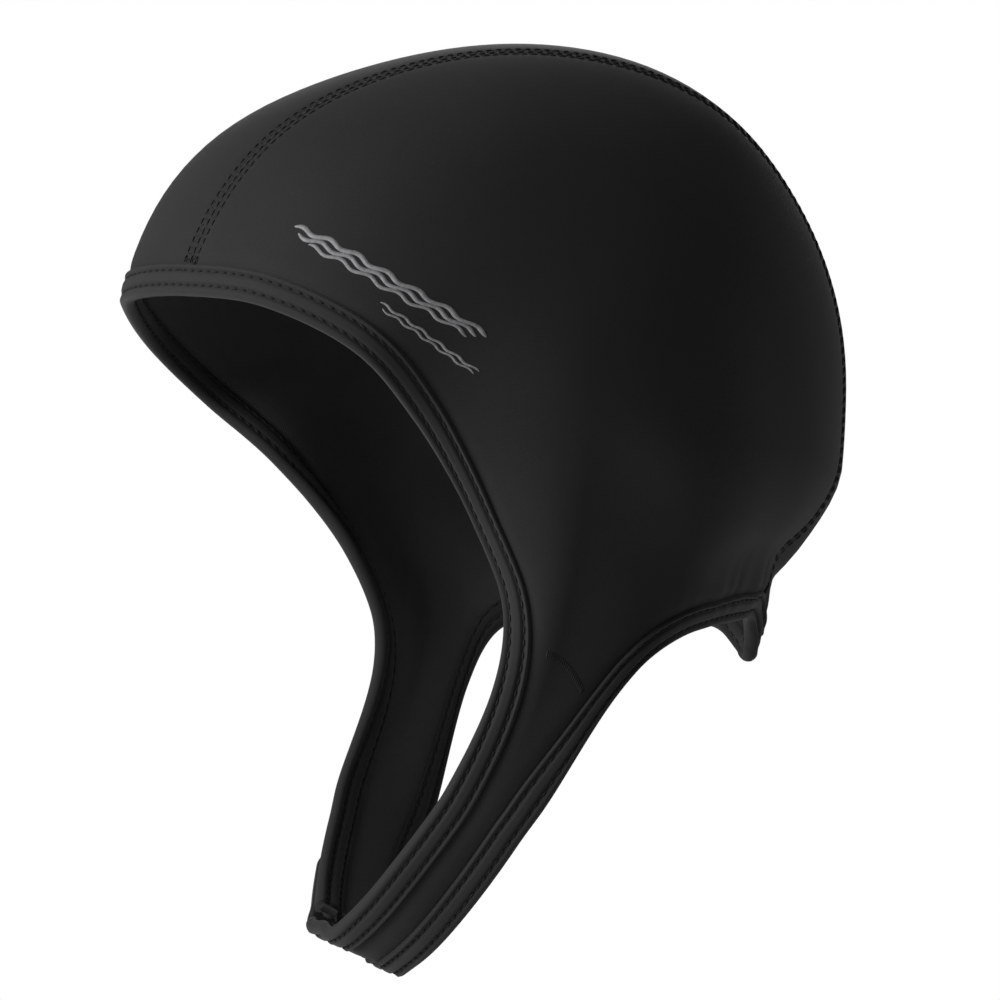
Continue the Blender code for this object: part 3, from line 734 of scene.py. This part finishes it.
def loops_and_hooks(reach, width, low, high, hooks):
    """Rows of small hooks, or tufts of loops, standing on a pad."""
    rng = random.Random(5 if hooks else 8)
    pitch = 1.5 * MM if hooks else 1.25 * MM
    parts = []
    for i, d in enumerate(np.arange(reach[0] + 2.2 * MM, reach[1] - 2.2 * MM, pitch)):
        shift = (i % 2) * pitch / 2
        for w in np.arange(-width / 2 + 2.2 * MM + shift, width / 2 - 2.2 * MM, pitch):
            jog = (0, 0) if hooks else (rng.uniform(-0.3, 0.3) * MM, rng.uniform(-0.3, 0.3) * MM)
            lean = 0.35 * MM if hooks else rng.uniform(-0.5, 0.5) * MM
            t = np.linspace(0, 1, 5)
            if hooks:
                dd, lift = d + lean * np.sin(t * 2.6), low + (high - low) * np.sin(t * 2.1)
                ww = np.full(5, w)
            else:
                turn = rng.uniform(0, TAU)
                span = 0.55 * MM * (t - 0.5)
                dd, ww = d + jog[0] + span * math.cos(turn), w + jog[1] + span * math.sin(turn)
                lift = low + (high - low) * np.sin(t * math.pi)
            path = on_strap(dd, ww, lift)
            up = unit(on_strap(dd, ww + MM, lift) - path)
            parts.append(tube(path, up, 0.13 * MM if hooks else 0.11 * MM, 4))
    return parts


TAB_CORNER, TAB_GROOVES = 8 * MM, (2.2 * MM, 4.4 * MM)


def tab_piece(name, materials):
    """The hook tab: it goes on from the long strap's raised end, and its free end is rounded."""
    d = np.linspace(TAB_TOP, STEP_TOP - 0.05 * MM, 36)
    into = np.clip(TAB_CORNER - (d - TAB_TOP), 0, None)
    half_end = TAB_WIDTH / 2 - (TAB_CORNER - np.sqrt(np.maximum(TAB_CORNER ** 2 - into ** 2, 0)))
    widen = ease((d - (STEP_TOP - 9 * MM)) / (9 * MM))
    half = half_end + (STRAP_WIDTH / 2 - TAB_WIDTH / 2) * widen
    w = np.linspace(-1, 1, 29)
    w = np.sign(w) * (1 - (1 - np.abs(w)) ** 1.5)
    d, w = np.repeat(d[:, None], 29, 1), half[:, None] * w[None, :]
    near = np.minimum(half[:, None] - np.abs(w), d - TAB_TOP)
    groove = bell(near, TAB_GROOVES[0], 0.6 * MM) + bell(near, TAB_GROOVES[1], 0.6 * MM)
    soft = (1 - np.clip(near / (1.1 * MM), 0, 1)) ** 2
    high = TAB_RISE + 0.25 * MM - 0.3 * MM * groove - 0.9 * MM * soft
    low = TAB_RISE - 2 * MM + 0.5 * MM * soft
    return slab(name, on_strap(d, w, high), on_strap(d, w, low), materials, np.stack([w, d], -1))


def tab_stitching(name, material):
    parts = []
    lift = TAB_RISE + 0.08 * MM
    for inset in TAB_GROOVES:
        d, w = pad_outline((TAB_TOP, STEP_TOP + 30 * MM), TAB_WIDTH, inset, TAB_CORNER, 2.7 * MM).T
        keep = d < STEP_TOP - 3.5 * MM
        q = on_strap(d, w, TAB_RISE)
        along = unit(np.roll(q, -1, axis=0) - np.roll(q, 1, axis=0))[keep]
        p = on_strap(d[keep], w[keep], lift)
        up = up_from_strap(d[keep], w[keep], TAB_RISE, p)
        parts += [stitch(a, s, u, SMALL_STITCH, 0.25 * MM, SMALL_SAG) for a, s, u in zip(p, along, up)]
    return joined(name, parts, [material])


def cross_stitching(name, distance, half, lift, material):
    """Two dense zigzags across the strap that join the tab to it."""
    parts = []
    for offset in (-1.3 * MM, 1.3 * MM):
        t = np.arange(-half + MM, half - MM, 0.75 * MM)
        d = distance + offset + 0.85 * MM * np.where(np.arange(len(t)) % 2, 1, -1)
        high = lift + TAB_RISE * (ease((STEP_BOTTOM - d) / (STEP_BOTTOM - STEP_TOP)) - 1)
        path = on_strap(d, t, high)
        parts.append(tube(path, up_from_strap(d, t, high, path), 0.23 * MM, 5))
    return joined(name, parts, [material])


PRINT_MAIN = (
    (0.245, 20.6), (0.29, 20.0), (0.335, 19.6), (0.38, 19.0),
    (0.42, 19.4), (0.46, 21.2), (0.5, 23.8), (0.55, 28.3),
)
PRINT_SMALL = ((0.40, 13.0), (0.43, 13.2), (0.46, 13.9), (0.5, 15.4), (0.54, 18.0), (0.575, 21.6))
# Each line's guide, its offset, swing, wave length and half width in mm, its phase and its part of the guide
PRINT_LINES = (
    (PRINT_MAIN, 1.55, 0.55, 8.5, 0.62, 0.0, (0.0, 1.0)),
    (PRINT_MAIN, -0.15, 0.55, 8.5, 0.55, 0.9, (0.04, 0.98)),
    (PRINT_MAIN, -1.75, 0.55, 8.5, 0.48, 1.8, (0.12, 0.96)),
    (PRINT_SMALL, 0.55, 0.3, 5.5, 0.36, 0.0, (0.0, 1.0)),
    (PRINT_SMALL, -0.65, 0.3, 5.5, 0.32, 1.0, (0.05, 1.0)),
)
PRINT_STEP, PRINT_FADE, PRINT_RISE, PRINT_ROOT = 0.35 * MM, 2.5 * MM, 0.1 * MM, 0.4 * MM
SMOOTHING = 61


def columns_in(rows, distances):
    """The column a distance in from the face edge on each row."""
    return np.array([chart.column_at([r], np.array([d]))[0, 0] for r, d in zip(rows, distances)])


def printed_line(guide, offset, swing, length, half, phase, part):
    """A thin raised wave line that follows a guide of (rib, distance from the face edge in mm)."""
    offset, swing, length, half = (v * MM for v in (offset, swing, length, half))
    guide = np.array(guide)
    fine = np.linspace(0, len(guide) - 1, 400)
    smooth = np.stack([np.convolve(np.interp(fine, np.arange(len(guide)), guide[:, k]),
                                   np.ones(SMOOTHING) / SMOOTHING, "valid") for k in (0, 1)], -1)
    rows = chart.middle + smooth[:, 0] * ROWS_PER_RIB
    middle = chart.at(rows, columns_in(rows, smooth[:, 1] * MM))[0]
    run = np.concatenate([[0], np.cumsum(np.linalg.norm(np.diff(middle, axis=0), axis=1))])
    s = np.arange(part[0] * run[-1], part[1] * run[-1], PRINT_STEP)
    r, d = np.interp(s, run, rows), np.interp(s, run, smooth[:, 1] * MM)
    taper = np.minimum(1, np.minimum(s - s[0], s[-1] - s) / PRINT_FADE)
    centre = d + offset + swing * np.sin(TAU * s / length + phase)
    tilt = np.arctan(swing * TAU / length * np.cos(TAU * s / length + phase))
    wide = half * (0.25 + 0.75 * np.sqrt(np.maximum(taper, 0))) / np.cos(tilt)
    column = np.stack([columns_in(r, centre - wide), columns_in(r, centre + wide)])
    p, n = chart.at(np.stack([r, r]), column)
    top, bottom = p + n * PRINT_RISE, p - n * PRINT_ROOT
    points = np.concatenate([top.reshape(-1, 3), bottom.reshape(-1, 3)])
    index = np.arange(4 * len(s)).reshape(4, len(s))
    loop = [index[0], index[1], index[3], index[2]]
    faces = []
    for a, b in zip(loop, loop[1:] + loop[:1]):
        faces += np.stack([a[:-1], a[1:], b[1:], b[:-1]], -1).tolist()
    faces += [[x[0] for x in loop], [x[-1] for x in loop[::-1]]]
    return points, faces


def wave_print(name, material):
    """Plain wave lines in the place of the printed mark: a main row and a shorter, finer one under it."""
    return joined(name, [printed_line(*line) for line in PRINT_LINES], [material])


LABEL_HALF, LABEL_DEPTH, LABEL_START = 7 * MM, 12 * MM, HEM + 3 * MM


def label(name, materials):
    """A blank woven label inside the nape, its ends folded under."""
    u, v = np.linspace(-LABEL_HALF, LABEL_HALF, 25), np.linspace(0, LABEL_DEPTH, 13)
    column = chart.column_at(np.full(1, float(chart.middle)), LABEL_START + v, True)[0]
    rate = rows_per_metre(np.full_like(column, chart.middle), column)
    rows = chart.middle + u[:, None] * rate[None, :]
    p, n = chart.at(rows, np.repeat(column[None, :], 25, 0))
    fold = bell(np.abs(u), 6.6 * MM, 0.5 * MM)[:, None]
    lift = SKIN + 0.55 * MM + 0.3 * MM * fold + 0.12 * MM * np.sin(v * 900)[None, :]
    uv = np.stack(np.meshgrid(u, v, indexing="ij"), -1)
    return slab(name, p - n * (lift + 0.35 * MM)[..., None], p - n * (SKIN - 0.1 * MM), materials, uv)


def label_stitching(name, material):
    parts = []
    row = np.full(1, float(chart.middle))
    for v in np.arange(0.8 * MM, LABEL_DEPTH - 0.5 * MM, 1.9 * MM):
        column = chart.column_at(row, np.array([LABEL_START + v]), True)[0]
        rate = rows_per_metre(row, column)
        for side in (-1, 1):
            beside = row + side * 5.6 * MM * rate
            p, up = chart.at(beside, column)
            q, _ = chart.at(beside, column + 0.5)
            middle = p[0] - up[0] * (SKIN + 0.95 * MM)
            parts.append(stitch(middle, unit(q[0] - p[0]), -up[0], 1.4 * MM, 0.22 * MM, 0.2 * MM))
    return joined(name, parts, [material])


def bar_tack(name, side, material):
    """A short bar of close stitches over the strap root."""
    row = chart.middle + side * (chart.rib_rows + 12.0)
    middle = np.array([row])
    centre = chart.column_at(middle, np.array([chart.from_face[int(row), -1] / 2]))[0, 0]
    rate = np.diff(chart.from_face[int(row), int(centre):int(centre) + 2])[0]
    columns = centre + np.linspace(-1, 1, 23) * 6.5 * MM / rate
    step = 1 / rows_per_metre(middle, np.array([centre]))[0]
    parts = []
    for c in columns:
        t = np.linspace(-1, 1, 5)
        p, n = chart.at(row + t * 1.2 * MM / step, np.full(5, c))
        parts.append(tube(p + n * (0.12 * MM * (1 - t ** 4) - 0.17 * MM)[:, None], n, 0.27 * MM, 5))
    return joined(name, parts, [material])


# ---- Materials

class Nodes:
    """A material's node tree, built by short calls. A number in place of a socket is set on the input."""

    def __init__(self, name, **values):
        self.material = bpy.data.materials.new(name)
        self.material.use_nodes = True
        self.tree = self.material.node_tree
        self.shader = next(n for n in self.tree.nodes if n.type == "BSDF_PRINCIPLED")
        for key, value in values.items():
            self.shader.inputs[key.replace("_", " ")].default_value = value
        self.uv = self.add("ShaderNodeUVMap").outputs[0]
        self.uv.node.uv_map = "Cloth"
        self.place = self.add("ShaderNodeTexCoord").outputs["Object"]

    def add(self, kind, inputs=(), **settings):
        node = self.tree.nodes.new(kind)
        for key, value in settings.items():
            setattr(node, key, value)
        for socket, value in zip(node.inputs, inputs):
            self.put(socket, value)
        return node

    def put(self, socket, value):
        if isinstance(value, bpy.types.NodeSocket):
            self.tree.links.new(value, socket)
        elif value is not None:
            socket.default_value = value

    def math(self, operation, *inputs):
        return self.add("ShaderNodeMath", inputs, operation=operation).outputs[0]

    def split(self, vector, scale=1.0):
        out = self.add("ShaderNodeSeparateXYZ", [vector]).outputs
        return [self.math("MULTIPLY", out[k], scale) for k in range(3)]

    def noise(self, scale, detail=3.0, rough=0.55):
        node = self.add("ShaderNodeTexNoise")
        settings = {"Vector": self.place, "Scale": scale, "Detail": detail, "Roughness": rough}
        for key, value in settings.items():
            self.put(node.inputs[key], value)
        return node.outputs[0]

    def span(self, value, low, high):
        """0 at the low value to 1 at the high one."""
        return self.add("ShaderNodeMapRange", [value, low, high, 0.0, 1.0]).outputs[0]

    def wave(self, value):
        """0 to 1 and back for every whole number."""
        return self.math("MULTIPLY_ADD", self.math("SINE", self.math("MULTIPLY", value, TAU)), 0.5, 0.5)

    def colour(self, dark, light, share):
        node = self.add("ShaderNodeMix", data_type="RGBA")
        self.put(node.inputs["Factor"], share)
        for key, value in (("A", dark), ("B", light)):
            self.put(next(s for s in node.inputs if s.name == key and s.type == "RGBA"), (*value, 1))
        mixed = next(s for s in node.outputs if s.type == "RGBA")
        self.tree.links.new(mixed, self.shader.inputs["Base Color"])

    def bump(self, height, strength, distance):
        node = self.add("ShaderNodeBump")
        for key, value in (("Height", height), ("Strength", strength), ("Distance", distance)):
            self.put(node.inputs[key], value)
        self.tree.links.new(node.outputs[0], self.shader.inputs["Normal"])


def knit(nodes, wale, course):
    """Height of a plain knit: columns of V-shaped loops."""
    x, y, _ = nodes.split(nodes.uv)
    x = nodes.math("DIVIDE", x, wale)
    side = nodes.math("ABSOLUTE", nodes.math("SUBTRACT", nodes.math("FRACT", x), 0.5))
    y = nodes.math("ADD", nodes.math("DIVIDE", y, course), nodes.math("MULTIPLY", side, 1.1))
    loop = nodes.wave(y)
    column = nodes.wave(nodes.math("MULTIPLY", x, 2.0))
    return nodes.math("MULTIPLY_ADD", column, 0.45, nodes.math("MULTIPLY", loop, 0.55))


def grey(value, blue=1.03):
    return (value, value, value * blue)


CLOTH_FINISH = {"Roughness": 0.78, "Specular_IOR_Level": 0.22, "Sheen_Weight": 0.09, "Sheen_Roughness": 0.5}
CLOTH_BUMP, MOTTLING = 0.12 * MM, 0.16


def cloth_material(name, level, wale, course, strength, **values):
    n = Nodes(name, **{**CLOTH_FINISH, **values})
    weave = knit(n, wale, course)
    patches = n.noise(28.0)
    fluff = n.noise(2400.0, 2.0, 0.6)
    share = n.math("ADD", n.math("MULTIPLY", weave, 0.45), n.math("MULTIPLY", fluff, 0.55))
    share = n.math("ADD", share, n.math("MULTIPLY", n.math("SUBTRACT", patches, 0.5), 0.7))
    # Painted highlight: where the binding's ridge attribute is set, its raised ridges and fold are coloured
    # lighter; the rest of the share is knit pattern, fibre noise and random patches.
    ridge_highlight = n.add("ShaderNodeAttribute", attribute_name="ridge_highlight").outputs["Fac"]
    share = n.math("ADD", share, n.math("MULTIPLY", ridge_highlight, 0.8))
    n.colour(grey(level * (1 - MOTTLING * 2)), grey(level * (1 + MOTTLING * 2)), share)
    height = n.math("ADD", weave, n.math("MULTIPLY", fluff, 0.8))
    height = n.math("ADD", height, n.math("MULTIPLY", patches, 2.5))
    n.bump(height, strength, CLOTH_BUMP)
    return n.material


def thread_material():
    n = Nodes("black_thread", Roughness=0.65, Specular_IOR_Level=0.2, Sheen_Weight=0.05)
    x, y, z = n.split(n.place, 1 / (0.45 * MM))
    ply = n.wave(n.math("ADD", n.math("ADD", x, y), z))
    n.colour(grey(0.012), grey(0.022), ply)
    n.bump(ply, 0.4, 0.05 * MM)
    return n.material


def tape_material():
    n = Nodes("black_seam_tape", Roughness=0.5, Specular_IOR_Level=0.35, Sheen_Weight=0.1)
    x, y, _ = n.split(n.uv, 1 / (0.6 * MM))
    weave = n.math("MULTIPLY", n.wave(x), n.wave(y))
    n.colour(grey(0.012), grey(0.022), weave)
    n.bump(weave, 0.35, 0.08 * MM)
    return n.material


def label_material():
    n = Nodes("pale_label_weave", Roughness=0.45, Specular_IOR_Level=0.4, Sheen_Weight=0.35)
    x, y, _ = n.split(n.uv, 1 / (0.35 * MM))
    satin = n.wave(n.math("ADD", x, n.math("MULTIPLY", y, 0.25)))
    fibre = n.math("MULTIPLY", n.noise(700.0), 0.4)
    n.colour(grey(0.36), grey(0.52), n.math("MULTIPLY_ADD", satin, 0.6, fibre))
    n.bump(satin, 0.3, 0.06 * MM)
    return n.material


def pile_material():
    n = Nodes("black_loop_pile", Roughness=0.9, Specular_IOR_Level=0.15, Sheen_Weight=0.6,
              Sheen_Roughness=0.4)
    fuzz = n.noise(3200.0, 4.0, 0.7)
    n.colour(grey(0.008), grey(0.03), fuzz)
    n.bump(fuzz, 0.8, 0.2 * MM)
    return n.material


def hook_material():
    n = Nodes("black_hook_plastic", Roughness=0.42, Specular_IOR_Level=0.45)
    grain = n.noise(1500.0)
    n.colour(grey(0.012), grey(0.02), grain)
    n.bump(grain, 0.3, 0.05 * MM)
    return n.material


def print_material():
    n = Nodes("grey_wave_print", Roughness=0.55, Specular_IOR_Level=0.3)
    wear = n.span(n.noise(900.0, 4.0, 0.65), 0.35, 0.55)
    worn = n.span(n.noise(120.0, 3.0, 0.6), 0.3, 0.6)
    share = n.math("MULTIPLY_ADD", wear, 0.6, n.math("MULTIPLY", worn, 0.4))
    n.colour(grey(PRINT_GREY * 0.55), grey(PRINT_GREY), share)
    n.bump(wear, 0.3, 0.05 * MM)
    return n.material


def floor_material():
    n = Nodes("pale_floor", Roughness=0.85, Specular_IOR_Level=0.2)
    speck = n.noise(40.0)
    n.colour((0.82, 0.82, 0.82), (0.86, 0.86, 0.86), speck)
    n.bump(speck, 0.05, 1 * MM)
    return n.material


PRINT_GREY = 0.3
SHELL = cloth_material("black_neoprene_knit", 0.0175, 0.8 * MM, 0.62 * MM, 0.25)
LINING = cloth_material("black_lining_plush", 0.05, 0.6 * MM, 0.6 * MM, 0.6, Roughness=0.9, Sheen_Weight=0.1)
BAND = cloth_material("black_binding_knit", 0.0185, 0.6 * MM, 0.5 * MM, 0.4, Sheen_Weight=0.11)
TAB_SHELL = cloth_material("black_tab_knit", 0.0175, 0.8 * MM, 0.62 * MM, 0.45)
THREAD, TAPE, LABEL, PILE = thread_material(), tape_material(), label_material(), pile_material()
HOOKS, PRINT = hook_material(), print_material()


# ---- The pieces

def on_cap(obj):
    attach(obj, "cap")
    return obj


def across_root(obj):
    """Cloth that runs over the strap's roots from the cap to the hanging strap; its transform is baked into
    its points.
    """
    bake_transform(obj)
    return obj


LEFT_SEAM, RIGHT_SEAM = SEAM_ROWS[1], SEAM_ROWS[0]
crown = on_cap(cloth("crown_cloth", RIGHT_SEAM, LEFT_SEAM, [SHELL, LINING]))
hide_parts("crown_panel")
left = across_root(cloth("left_side_cloth", LEFT_SEAM, LAST_ROW, [SHELL, LINING]))
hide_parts("left_side_panel", "chin_strap")
right = across_root(cloth("right_side_cloth", 0, RIGHT_SEAM, [SHELL, LINING]))
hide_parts("right_side_panel", "short_strap")
face_band = across_root(binding("face_binding", False, BAND))
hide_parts("face_hem")
neck_band = across_root(binding("neck_binding", True, BAND))
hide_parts("neck_hem")
face_thread = across_root(edge_stitching("face_stitching", False, THREAD))
neck_thread = across_root(edge_stitching("neck_stitching", True, THREAD))
for word, side in (("left", 1), ("right", -1)):
    sewn = on_cap(crown_stitching(f"{word}_crown_stitching", side, THREAD))
    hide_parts(f"{word}_crown_seam_cover")
    taped = on_cap(seam_tape(f"{word}_seam_tape_cloth", side, TAPE))
    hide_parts(f"{word}_crown_seam_tape")
    tacked = on_cap(bar_tack(f"{word}_root_tack", side, THREAD))
    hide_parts(f"{word}_bar_tack")

tab = tab_piece("tab_cloth", [TAB_SHELL, LINING])
tab_thread = tab_stitching("tab_stitching", THREAD)
for piece, finish in ((tab, "neoprene"), (tab_thread, "thread")):
    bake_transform(piece)
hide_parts("hook_tab")
tab_bar = cross_stitching("tab_base_stitching", STEP_TOP + 4 * MM, 9.5 * MM, TAB_RISE + 0.1 * MM, THREAD)
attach(tab_bar, "strap")

LOOP_REACH, HOOK_REACH, PAD_WIDTH, PAD_CORNER = (18 * MM, 55 * MM), (27 * MM, 49 * MM), 20 * MM, 4 * MM
loop_pad = crowned_pad("loop_pad", LOOP_REACH, PAD_WIDTH, PAD_CORNER, -0.3 * MM, 0.85 * MM, PILE)
loop_tufts = joined("loop_tufts", loops_and_hooks(LOOP_REACH, PAD_WIDTH, 0.7 * MM, 1.2 * MM, False), [PILE])
pad_thread = joined("loop_pad_stitching", pad_stitching(
    LOOP_REACH, PAD_WIDTH, 1.2 * MM, PAD_CORNER, 0.85 * MM, 2.4 * MM, 1.7 * MM), [THREAD])
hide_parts("loop_patch")
for piece, finish in ((loop_pad, "loop_pile"), (loop_tufts, "loop_pile"), (pad_thread, "thread")):
    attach(piece, "strap")
hook_pad = crowned_pad("hook_pad", HOOK_REACH, PAD_WIDTH, PAD_CORNER, 1.65 * MM, 2.5 * MM, HOOKS, 0.1 * MM)
hook_rows = joined("hook_rows", loops_and_hooks(HOOK_REACH, PAD_WIDTH, 1.75 * MM, 1.3 * MM, True), [HOOKS])
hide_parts("hook_patch")
for piece in (hook_pad, hook_rows):
    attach(piece, "tab")

care = on_cap(label("care_label_cloth", [LABEL]))
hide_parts("care_label")
care_thread = on_cap(label_stitching("care_label_stitching", THREAD))
mark = on_cap(wave_print("wave_print", PRINT))


# ---- Floor, light and camera

TARGET = Vector((-0.0008, 0.0048, -0.0267))
AZIMUTH, ELEVATION, DISTANCE, PICTURE_WIDTH = math.radians(71.5), math.radians(-4.8), 1.65, 0.2595
FLOOR = -0.19
TOWARDS = Vector((math.sin(AZIMUTH) * math.cos(ELEVATION), -math.cos(AZIMUTH) * math.cos(ELEVATION),
                  math.sin(ELEVATION)))
LEFTWARD = Vector((-math.cos(AZIMUTH), -math.sin(AZIMUTH), 0))
scene = bpy.context.scene


def build_floor():
    size = 5.0
    p = np.array([(-size, -size, FLOOR), (size, -size, FLOOR), (size, size, FLOOR), (-size, size, FLOOR)])
    p = np.concatenate([p, p - (0, 0, 10 * MM)])
    faces = [(0, 1, 2, 3), (7, 6, 5, 4), (0, 4, 5, 1), (1, 5, 6, 2), (2, 6, 7, 3), (3, 7, 4, 0)]
    mesh("floor", p, faces, [floor_material()], smooth=False)


def area_light(name, way, distance, size, power):
    data = bpy.data.lights.new(name, "AREA")
    data.shape, data.size, data.energy = "DISK", size, power
    obj = bpy.data.objects.new(name, data)
    scene.collection.objects.link(obj)
    way = Vector(way).normalized()
    obj.location = TARGET + way * distance
    obj.rotation_euler = way.to_track_quat("Z", "Y").to_euler()
    return obj


def build_light():
    up = Vector((0, 0, 1))
    area_light("key", TOWARDS * 0.40 + LEFTWARD * 0.85 + up * 0.28, 3.4, 2.7, 130.0)
    area_light("rim", -LEFTWARD * 0.8 + up * 0.15 - TOWARDS * 0.6, 3.4, 1.4, 4.0)
    area_light("back", -TOWARDS * 0.9 + up * 0.3 - LEFTWARD * 0.1, 3.4, 2.0, 30.0)
    world = bpy.data.worlds.new("white_studio")
    scene.world = world
    world.use_nodes = True
    tree = world.node_tree
    tree.nodes.clear()
    out = tree.nodes.new("ShaderNodeOutputWorld")
    mix = tree.nodes.new("ShaderNodeMixShader")
    seen = tree.nodes.new("ShaderNodeLightPath")
    for socket, level in ((1, 0.085), (2, 1.0)):
        light = tree.nodes.new("ShaderNodeBackground")
        light.inputs["Color"].default_value = (level, level, level, 1)
        tree.links.new(light.outputs[0], mix.inputs[socket])
    tree.links.new(seen.outputs["Is Camera Ray"], mix.inputs[0])
    tree.links.new(mix.outputs[0], out.inputs[0])


def build_camera():
    data = bpy.data.cameras.new("camera")
    data.sensor_width = 36.0
    data.lens = 18.0 * DISTANCE / (PICTURE_WIDTH / 2)
    data.clip_start, data.clip_end = 0.05, 20.0
    obj = bpy.data.objects.new("camera", data)
    scene.collection.objects.link(obj)
    obj.location = TARGET + TOWARDS * DISTANCE
    obj.rotation_euler = TOWARDS.to_track_quat("Z", "Y").to_euler()
    scene.camera = obj


build_floor()
build_light()
build_camera()
scene.view_settings.view_transform = "Standard"
